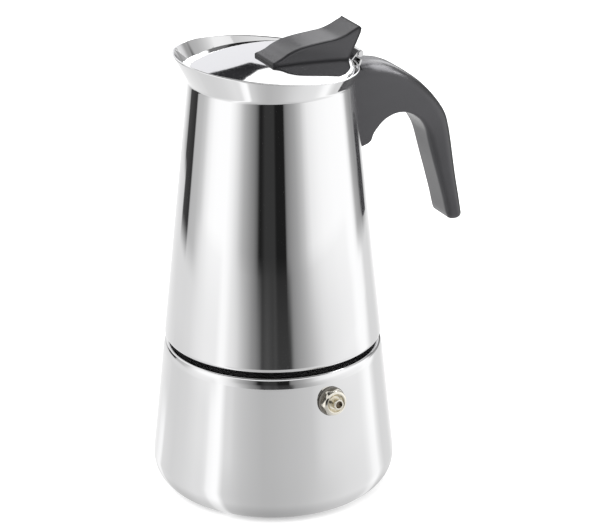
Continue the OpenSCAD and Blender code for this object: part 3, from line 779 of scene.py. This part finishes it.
def tent_object(name, verts, faces, mat):
    me = bpy.data.meshes.new(name)
    me.from_pydata(verts, [], faces)
    me.shade_smooth()
    o = bpy.data.objects.new(name, me)
    scene.collection.objects.link(o)
    me.materials.append(mat)
    o.rotation_euler.z = CAM_TURN
    o.visible_camera = o.visible_diffuse = o.visible_transmission = o.visible_volume_scatter = o.visible_shadow = False
    o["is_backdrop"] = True
    return o


def tent_surface(profile, seg=96):
    v, f = clean_faces(*lathe_data(lambda a: profile, seg, closed=False))
    return [tuple(p) for p in v], f


def mixed(nt, fac, a, b, kind="MIX"):
    n = nt.nodes.new("ShaderNodeMix")
    n.data_type, n.blend_type = "RGBA", kind
    if isinstance(fac, (int, float)):
        n.inputs["Factor"].default_value = fac
    else:
        nt.links.new(fac, n.inputs["Factor"])
    nt.links.new(a, n.inputs["A"])
    nt.links.new(b, n.inputs["B"])
    return n.outputs["Result"]


def heading(nt, r, a, body_r):
    """Turn that a level mirror of radius body_r on the axis sends the front's light to, for a point of the tent."""
    az = math_node(nt, "MULTIPLY", math_node(nt, "SUBTRACT", a, 0.5), 2 * math.pi)
    k = math_node(nt, "DIVIDE", body_r, r)
    first = math_node(nt, "DIVIDE", az, math_node(nt, "SUBTRACT", 1.0, math_node(nt, "MULTIPLY", k, 0.5)))
    first = math_node(nt, "MAXIMUM", math_node(nt, "MINIMUM", first, math.pi), -math.pi)
    side = math_node(nt, "MULTIPLY", k, math_node(nt, "SINE", math_node(nt, "MULTIPLY", first, 0.5)))
    side = math_node(nt, "MAXIMUM", math_node(nt, "MINIMUM", side, 1.0), -1.0)
    turn = math_node(nt, "ADD", az, math_node(nt, "ARCSINE", side))
    return math_node(nt, "ADD", math_node(nt, "MULTIPLY", turn, 1 / (2 * math.pi)), 0.5)


def round_about(nt, t, stops):
    """Brightness all the way round, from stops in degrees; one ramp for each side."""
    left = ramp(nt, t, degs([q for q in stops[0]]))
    right = ramp(nt, t, degs([q for q in stops[1]]))
    return mixed(nt, math_node(nt, "GREATER_THAN", t, 0.5), left, right)


# table, with the pot's shadow painted on close to the axis
m_table, nt, em = tent_material("tent_table")
r, a, z = polar(nt)
t = heading(nt, r, a, 0.046)
off = math_node(nt, "MULTIPLY", math_node(nt, "ABSOLUTE", math_node(nt, "SUBTRACT", t, 0.5)), 360.0)
WALL_LOW = ([(-180, .92), (-170, .84), (-160, .78), (-136, .68), (-112, .68), (-100, .70), (-88, .78), (-76, .83), (-62, .84), (-56, .97), (-52, .95), (-46, .80), (-42, .75),
             (-38, .68), (-34, .56), (-30, .46), (-26, .37), (-22, .27), (-18, .22), (-14, .14), (-11, .05), (-6, .07), (0, .05)],
            [(0, .05), (3, .06), (6, .04), (18, .04), (20, .12), (22, .22), (26, .28), (34, .37), (42, .48), (48, .58), (56, .70), (64, .76), (80, .83),
             (96, .88), (102, .96), (106, .99), (114, .98), (120, .93), (124, .78), (128, .68), (144, .66), (152, .72), (160, .84), (168, .90), (180, .92)])
FAR_L = [(-131, .68), (-128, .65), (-112, .64), (-96, .67), (-88, .71), (-80, .75), (-72, .76), (-68, .80), (-64, .93), (-58, 1.0), (-54, 1.0), (-50, .80), (-48, .71),
         (-42, .68), (-38, .61), (-34, .57), (-30, .54), (-22, .50), (-10, .46), (0, .47)]
FAR_R = [(0, .47), (22, .51), (38, .56), (44, .62), (48, .66), (56, .70), (72, .74), (96, .79), (102, .85), (106, .92), (110, .97), (115, .98),
         (120, .82), (124, .72), (128, .66), (144, .66), (152, .70), (160, .78), (168, .86), (180, .90)]
far = round_about(nt, t, ([(-180, .90), (-170, .84), (-160, .78), (-150, .75), (-136, .69)] + FAR_L, FAR_R))
close = round_about(nt, t, ([(-180, .90), (-170, .84), (-160, .79), (-150, .78), (-143, .88), (-136, .92), (-131, .70), (-112, .64), (-96, .67), (-88, .70), (-80, .73),
                             (-72, .73), (-68, .77), (-64, .93), (-58, 1.0), (-54, 1.0), (-50, .75), (-48, .65), (-45, .63), (-38, .58), (-30, .52), (-22, .49), (-10, .46), (0, .46)],
                            [(0, .46), (22, .50), (33, .54), (45, .60), (59, .66), (72, .71), (83, .73), (96, .76), (102, .82), (106, .90), (110, .94), (115, .95), (120, .80),
                             (124, .72), (128, .66), (144, .66), (152, .70), (160, .78), (168, .86), (180, .90)]))
col = mixed(nt, range_node(nt, r, 0.090, 0.160, 0.0, 1.0, smooth=True), close, far)
edge = math_node(nt, "MULTIPLY", range_node(nt, r, 0.20, 0.305, 0.0, 1.0, smooth=True), range_node(nt, off, 45.0, 65.0, 0.0, 1.0, smooth=True))
col = mixed(nt, edge, col, round_about(nt, t, WALL_LOW))
# painted shadow: the table darkens towards the axis inside 60 mm, the pot's contact shadow as the steel shows it
near = range_node(nt, r, 0.042, 0.060, 0.72, 1.0, smooth=True)
nt.links.new(mixed(nt, 1.0, col, near, "MULTIPLY"), em.inputs["Color"])
em.inputs["Strength"].default_value = 1.24
v, f = tent_surface([(0.0, 0.0001), (0.04, 0.0001), (0.1, 0.0001), (SIDE_R, 0.0001)])
tent_object("tent_floor", v, f, m_table)

# side wall: a pale room with a dark gap in front and dark patches behind, both fading towards the table
m_wall, nt, em = tent_material("tent_wall")
r, a, z = polar(nt)
t = heading(nt, r, a, 0.039)
off = math_node(nt, "MULTIPLY", math_node(nt, "ABSOLUTE", math_node(nt, "SUBTRACT", t, 0.5)), 360.0)
front_l = [(-116, .45), (-104, .49), (-96, .59), (-88, .84), (-80, .97), (-72, 1.0), (-56, 1.0), (-51, .92), (-48, .86), (-42, .69), (-38, .54), (-34, .42),
           (-30, .35), (-26, .28), (-21, .20), (-17.5, .11), (-15, .012), (-12, .015), (-8, .035), (0, .035)]
front_r = [(0, .035), (3, .035), (5, .012), (15.5, .012), (17.5, .19), (22, .26), (30, .36), (38, .53), (42, .67), (48, .82), (56, .89), (64, .94), (80, .98),
           (108, 1.0), (113, .90), (117, .60), (120, .41)]
low = round_about(nt, t, WALL_LOW)
mid = round_about(nt, t, ([(-180, .92), (-168, .83), (-152, .72), (-140, .66), (-134.5, .60), (-133, .06), (-118, .03)] + front_l,
                          front_r + [(128, .32), (132, .26), (134, .05), (147, .05), (150, .40), (154, .60), (160, .76), (168, .86), (180, .92)]))
top = round_about(nt, t, ([(-180, .60), (-174, .80), (-168, .88), (-160, .82), (-152, .68), (-143, .46), (-140, .40), (-138, .06), (-118, .03)] + front_l,
                          front_r + [(128, .29), (144, .23), (152, .16), (160, .07), (166, .05), (172, .30), (180, .60)]))
above = round_about(nt, t, ([(-180, .81), (-150, .81), (-60, .85), (0, .80)],
                            [(0, .80), (60, .82), (80, .88), (92, .86), (102, .61), (111, .49), (120, .40), (127, .36), (129, .04), (135, .04), (138, .30),
                             (145, .33), (150, .55), (165, .81), (180, .81)]))
rise_c = range_node(nt, z, 0.005, 0.10, 0.0, 1.0, smooth=True)
rise_s = range_node(nt, z, 0.020, 0.042, 0.0, 1.0, smooth=True)
pick = range_node(nt, off, 92.0, 104.0, 0.0, 1.0, smooth=True)
rise = math_node(nt, "ADD", math_node(nt, "MULTIPLY", rise_c, math_node(nt, "SUBTRACT", 1.0, pick)), math_node(nt, "MULTIPLY", rise_s, pick))
col = mixed(nt, rise, low, mid)
col = mixed(nt, range_node(nt, z, 0.054, 0.066, 0.0, 1.0), col, top)
col = mixed(nt, range_node(nt, z, 0.165, 0.185, 0.0, 1.0), col, above)
upper = round_about(nt, t, ([(-180, .81), (-150, .81), (-60, .85), (0, .80)],
                            [(0, .80), (60, .82), (80, .88), (92, .86), (102, .66), (111, .54), (120, .46), (136, .40), (141, .45), (147, .90), (180, .90)]))
col = mixed(nt, range_node(nt, z, 0.242, 0.258, 0.0, 1.0), col, upper)
# what the flat lid shows, straight behind: a pale wall, then a dark band with slanted edges, then a white ceiling
back = math_node(nt, "SUBTRACT", math_node(nt, "FRACT", math_node(nt, "ADD", a, 0.5)), 0.5)
ub = math_node(nt, "ADD", math_node(nt, "MULTIPLY", back, 360.0 / 48.0), 0.5)


def leaning(stops):
    """Height as a function of the turn behind the pot: stops in degrees and metres."""
    return math_node(nt, "ADD", math_node(nt, "MULTIPLY", ramp(nt, ub, [((u + 24) / 48, (h - 0.27) / 0.10) for u, h in stops]), 0.10), 0.27)


under_edge = leaning([(-16, .301), (-.3, .301), (1.3, .293), (2.9, .284), (4.4, .292), (5.9, .299), (7.4, .304), (9.1, .308), (15.5, .317), (18, .352)])
over_edge = leaning([(-16, .301), (-.3, .301), (.7, .304), (1.9, .310), (3.2, .327), (3.7, .331), (4.2, .340), (5, .350), (6, .352), (18, .352)])
in_band = range_node(nt, math_node(nt, "SUBTRACT", z, under_edge), -0.0006, 0.0006, 0.0, 1.0)
over_band = range_node(nt, math_node(nt, "SUBTRACT", z, over_edge), -0.0006, 0.0006, 0.0, 1.0)
behind = range_node(nt, off, 150.0, 160.0, 0.0, 1.0)
band_tone = ramp(nt, ub, [(0.0, (.024, .024, .026)), (1.0, (.020, .020, .022))])
white_tone = ramp(nt, ub, [(0.0, 1.0), (1.0, .98)])
pale_tone = ramp(nt, ub, [(0.0, (.785, .785, .81)), (1.0, (.80, .80, .82))])
shown = mixed(nt, over_band, mixed(nt, in_band, pale_tone, band_tone), white_tone)
col = mixed(nt, math_node(nt, "MULTIPLY", behind, range_node(nt, z, 0.195, 0.205, 0.0, 1.0)), col, shown)
nt.links.new(col, em.inputs["Color"])
right_back = math_node(nt, "MULTIPLY", ramp(nt, a, degs([(-180, 0), (131, 0), (139, 1.0), (152, 1.0), (164, .30), (170, .20), (173, 0), (180, 0)])),
                       range_node(nt, z, 0.235, 0.26, 0.0, 1.0, smooth=True))
up_back = math_node(nt, "MULTIPLY", range_node(nt, off, 150.0, 162.0, 0.0, 0.30, smooth=True), range_node(nt, z, 0.302, 0.316, 0.0, 1.0, smooth=True))
nt.links.new(math_node(nt, "ADD", math_node(nt, "ADD", math_node(nt, "MULTIPLY", right_back, 3.3), up_back), 1.24), em.inputs["Strength"])
v, f = tent_surface([(SIDE_R, 0.0001), (SIDE_R, 0.1), (SIDE_R, 0.2), (SIDE_R, SIDE_TOP)])
tent_object("tent_side", v, f, m_wall)

# roof
m_roof, nt, em = tent_material("tent_roof")
r, a, z = polar(nt)
low = ramp(nt, a, degs([(-180, .95), (-120, .88), (-60, .84), (0, .80), (55, .60), (80, .45), (92, .22), (117, .22), (126, .9), (180, .95)]))
dark = ramp(nt, a, degs([(-180, .9), (-158, .8), (-140, .02), (70, .02), (84, .15), (117, .2), (126, .9), (180, .9)]))
bright = ramp(nt, a, degs([(-180, .3), (-150, .02), (100, .02), (112, .3), (150, .4), (165, .3), (180, .3)]))
col = mixed(nt, range_node(nt, z, 0.445, 0.470, 0.0, 1.0, smooth=True), low, dark)
col = mixed(nt, range_node(nt, z, 0.560, 0.580, 0.0, 1.0, smooth=True), col, bright)
nt.links.new(col, em.inputs["Color"])
panel = math_node(nt, "MULTIPLY", range_node(nt, z, 0.405, 0.425, 0.0, 1.0, smooth=True),
                  ramp(nt, a, degs([(-180, 0), (117, 0), (126, 1.0), (156, .9), (170, 0), (180, 0)])))
nt.links.new(math_node(nt, "ADD", math_node(nt, "MULTIPLY", panel, 4.4), 1.24), em.inputs["Strength"])
prof = [(SIDE_R * math.cos(t), SIDE_TOP + 0.32 * math.sin(t)) for t in np.linspace(0, math.pi / 2, 16)]
v, f = tent_surface(prof)
tent_object("tent_top", v, f, m_roof)

# two cards of light close to the handle, low enough to stay out of the lip's and the lid's view
def card(name, az0, az1, rows_, tones, strength):
    """Part of a ball round the handle's head: turn from az0 to az1, rows of (distance, elevation)."""
    m, nt, em = tent_material(name)
    r, a, z = polar(nt, (-0.015, 0.05))
    nt.links.new(ramp(nt, a, degs(tones)), em.inputs["Color"])
    ends = [0.172 + d * math.sin(math.radians(el)) for d, el in (rows_[0], rows_[-1])]
    soft = math_node(nt, "MINIMUM", range_node(nt, z, ends[0], ends[0] + 0.002, 0.0, strength), range_node(nt, z, ends[1], ends[1] - 0.002, 0.0, strength))
    nt.links.new(soft, em.inputs["Strength"])
    steps = int((az1 - az0) / 4)
    verts, faces, n = [], [], len(rows_)
    for i in range(steps + 1):
        az = math.radians(az0 + (az1 - az0) * i / steps)
        for dist, el in rows_:
            e = math.radians(el)
            verts.append((-0.015 + dist * math.cos(e) * math.cos(az), 0.05 + dist * math.cos(e) * math.sin(az), 0.172 + dist * math.sin(e)))
        if i:
            faces += [((i - 1) * n + k, i * n + k, i * n + k + 1, (i - 1) * n + k + 1) for k in range(n - 1)]
    return tent_object(name, verts, faces, m)


card("card_low", 60, 104, [(0.100, 27), (0.100, 33), (0.100, 39.5)], [(-180, 0), (60, .05), (63, .34), (66, .38), (76, .62), (88, 1.0), (98, 1.0), (104, 0), (180, 0)], 9.0)
card("card_high", 56, 128, [(0.045, el) for el in (38, 46, 54, 63, 72, 80)], [(-180, 0), (56, .1), (61, .65), (66, .8), (84, 1.0), (120, 1.0), (128, 0), (180, 0)], 7.0)

# ------------------------------------------------------------------ lights for everything that isn't a mirror
world = bpy.data.worlds.new("studio")
scene.world = world
world.use_nodes = True
bg = world.node_tree.nodes["Background"]
bg.inputs["Color"].default_value = (1, 1, 1, 1)
bg.inputs["Strength"].default_value = 1.0


def area(name, place, target, size, power):
    d = bpy.data.lights.new(name, "AREA")
    d.shape, d.size, d.size_y, d.energy = "RECTANGLE", size[0], size[1], power
    o = bpy.data.objects.new(name, d)
    scene.collection.objects.link(o)
    o.location = place
    o.rotation_euler = (Vector(target) - Vector(place)).to_track_quat("-Z", "Y").to_euler()
    o.visible_glossy = False
    o.visible_camera = False
    return o


area("key_left", (-1.3, -0.9, 1.5), (0, 0, 0.1), (1.2, 1.2), 22)
area("fill_right", (1.5, -0.9, 1.1), (0, 0, 0.1), (1.4, 1.4), 12)
area("top", (0.1, 0.3, 2.0), (0, 0, 0.1), (1.6, 1.6), 16)

# ------------------------------------------------------------------ camera
yaw, pitch, roll = 0.0117, 0.3834, -0.0026
fwd = Vector((math.sin(yaw) * math.cos(pitch), math.cos(yaw) * math.cos(pitch), -math.sin(pitch)))
right = Vector((math.cos(yaw), -math.sin(yaw), 0))
upv = right.cross(fwd)
r2 = right * math.cos(roll) + upv * math.sin(roll)
u2 = -right * math.sin(roll) + upv * math.cos(roll)
turn = Matrix.Rotation(math.radians(-25), 3, "Z")
rot = turn @ Matrix((r2, u2, -fwd)).transposed()
cam_data = bpy.data.cameras.new("camera")
cam_data.lens, cam_data.sensor_width, cam_data.sensor_fit = 154.07, 36.0, "HORIZONTAL"
cam_data.clip_start, cam_data.clip_end = 0.05, 50
cam = bpy.data.objects.new("camera", cam_data)
scene.collection.objects.link(cam)
cam.matrix_world = Matrix.Translation((-0.4099, -0.8789, 0.4848)) @ rot.to_4x4()
scene.camera = cam

scene.view_settings.view_transform = "Standard"
scene.view_settings.look = "None"

bpy.data.materials.remove(dummy)
lo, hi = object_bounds()
